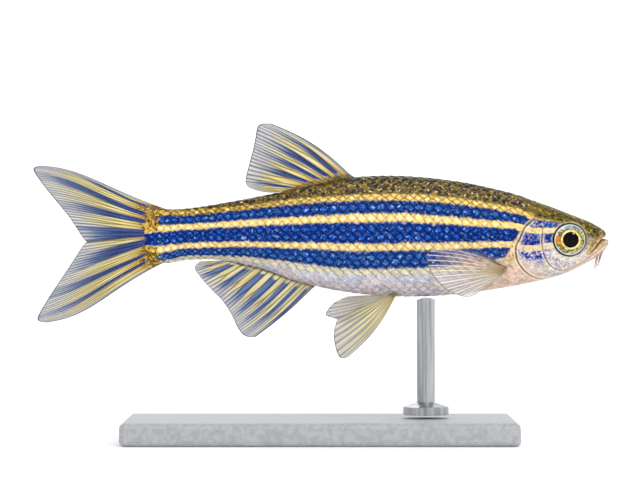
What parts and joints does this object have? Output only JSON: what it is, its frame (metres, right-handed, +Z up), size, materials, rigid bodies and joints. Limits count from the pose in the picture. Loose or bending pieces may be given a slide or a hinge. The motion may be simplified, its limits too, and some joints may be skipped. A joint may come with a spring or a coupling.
{
  "type": "zebra danio fish model",
  "caption": "Life-size still model of a small striped freshwater fish with spread fins, held on a flat base by one slim rod.",
  "frame": {"origin": "under the middle of the fish's length, on the underside of the display base", "axes": "+X from the tail to the snout, +Y to the fish's left, +Z up"},
  "size_m": [0.05, 0.018, 0.0276],
  "materials": {
    "skin": "wet scales, dark blue and gold stripes along the flank",
    "gill_cover": "silvery, with blue and gold bars",
    "eye": "wet and clear over a pale ringed iris",
    "barbel": "soft skin",
    "fin": "thin see-through membrane with yellow rays and blue bands",
    "stand_plate": "satin",
    "stand_steel": "satin"
  },
  "bodies": {
    "root": {"head": "skin", "lower_jaw": "skin", "trunk": "skin", "tail": "skin", "gill_cover_left": "gill_cover", "gill_cover_right": "gill_cover", "eye_left": "eye", "eye_right": "eye", "barbel_front_left": "barbel", "barbel_front_right": "barbel", "barbel_rear_left": "barbel", "barbel_rear_right": "barbel", "dorsal_fin": "fin", "anal_fin": "fin", "caudal_fin_upper": "fin", "caudal_fin_lower": "fin", "pectoral_fin_left": "fin", "pectoral_fin_right": "fin", "pelvic_fin_left": "fin", "pelvic_fin_right": "fin", "stand_base": "stand_plate", "stand_rod": "stand_steel"}
  },
  "joints": []
}
